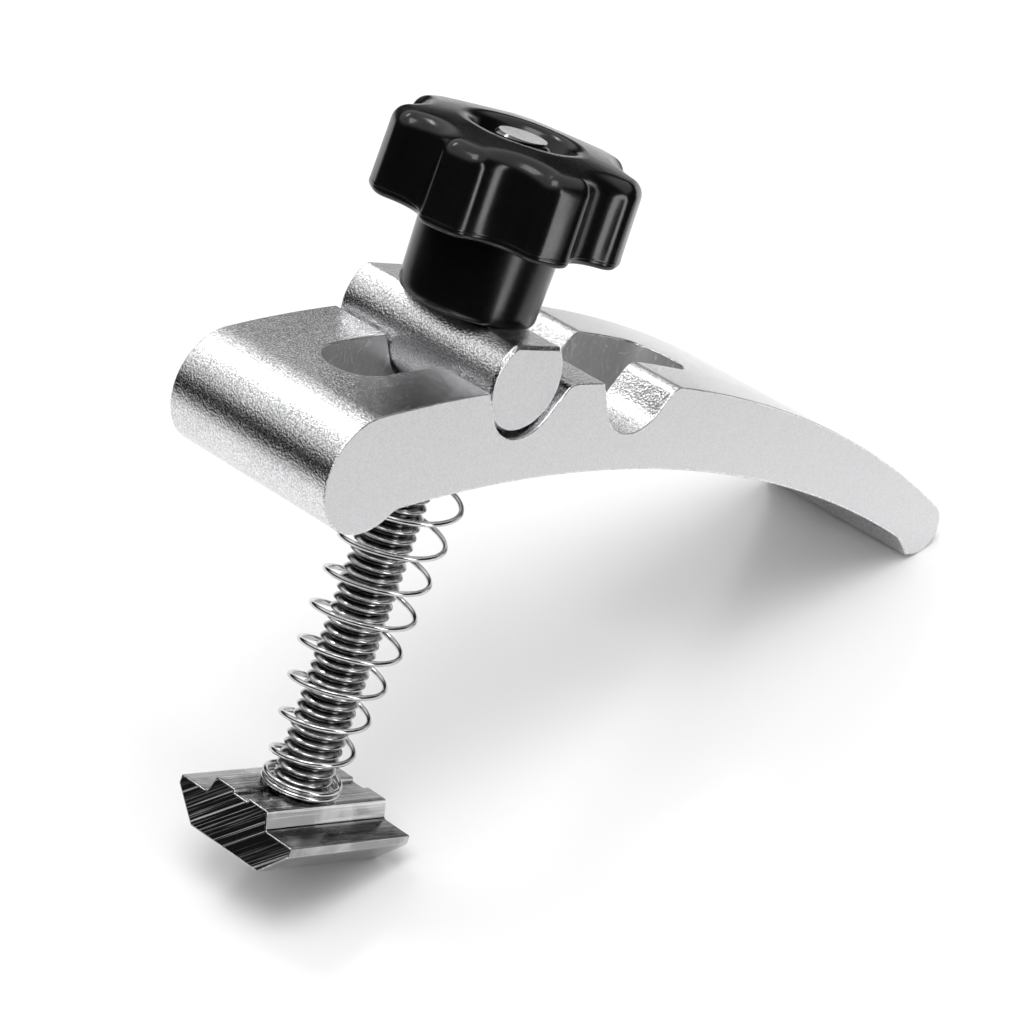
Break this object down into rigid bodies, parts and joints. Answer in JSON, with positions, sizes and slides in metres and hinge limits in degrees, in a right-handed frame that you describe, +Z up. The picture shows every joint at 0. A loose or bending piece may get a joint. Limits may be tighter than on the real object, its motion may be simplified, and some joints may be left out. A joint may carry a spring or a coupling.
{
  "type": "t-track hold-down clamp",
  "caption": "Hold-down clamp for a T-track: curved slotted arm, cross barrel in a seat, lobed knob on a threaded stud, return spring and T-nut.",
  "frame": {"origin": "middle of the footprint on the bench, in the pose in which the clamp stands by itself: on the lower end edge of its T-nut and on the nose of its toe", "axes": "+Z up; +X from the heel to the toe, in plan; +Y across the arm, along the barrel"},
  "size_m": [0.1284, 0.0329, 0.1013],
  "materials": {
    "blasted_aluminium": "bead-blasted, clear anodised",
    "plated_steel": "bright plating over drawn bar",
    "spring_steel": "bright drawn wire",
    "black_plastic": "satin gloss, moulded",
    "insert_brass": "turned"
  },
  "bodies": {
    "arm": {"clamp_arm": "blasted_aluminium"},
    "barrel": {"pivot_barrel": "blasted_aluminium"},
    "knob": {"knob": "black_plastic", "knob_insert": "insert_brass"},
    "screw": {"stud": "plated_steel", "spring": "spring_steel"},
    "nut": {"t_nut": "plated_steel"}
  },
  "joints": [
    {"name": "pivot_tilt", "type": "hinge", "parent": "arm", "child": "barrel", "pos_m": [-0.02174, 0, 0.06984], "axis": [0, 1, 0], "range_deg": [-15, 15]},
    {"name": "knob_spin", "type": "hinge", "parent": "barrel", "child": "knob", "pos_m": [-0.02174, 0, 0.06984], "axis": [0.4535, 0, 0.8912], "range_deg": [-9360, 360]},
    {"name": "stud_slide", "type": "slide", "parent": "barrel", "child": "screw", "axis": [0.4535, 0, 0.8912], "range_m": [-0.00141, 0.03668], "deforming": ["spring"]},
    {"name": "nut_swivel", "type": "hinge", "parent": "screw", "child": "nut", "pos_m": [-0.02174, 0, 0.06984], "axis": [0.4535, 0, 0.8912], "continuous": true}
  ],
  "couplings": [
    {"joint": "knob_spin", "follows": "stud_slide", "rad_per_m": -4452.7}
  ]
}
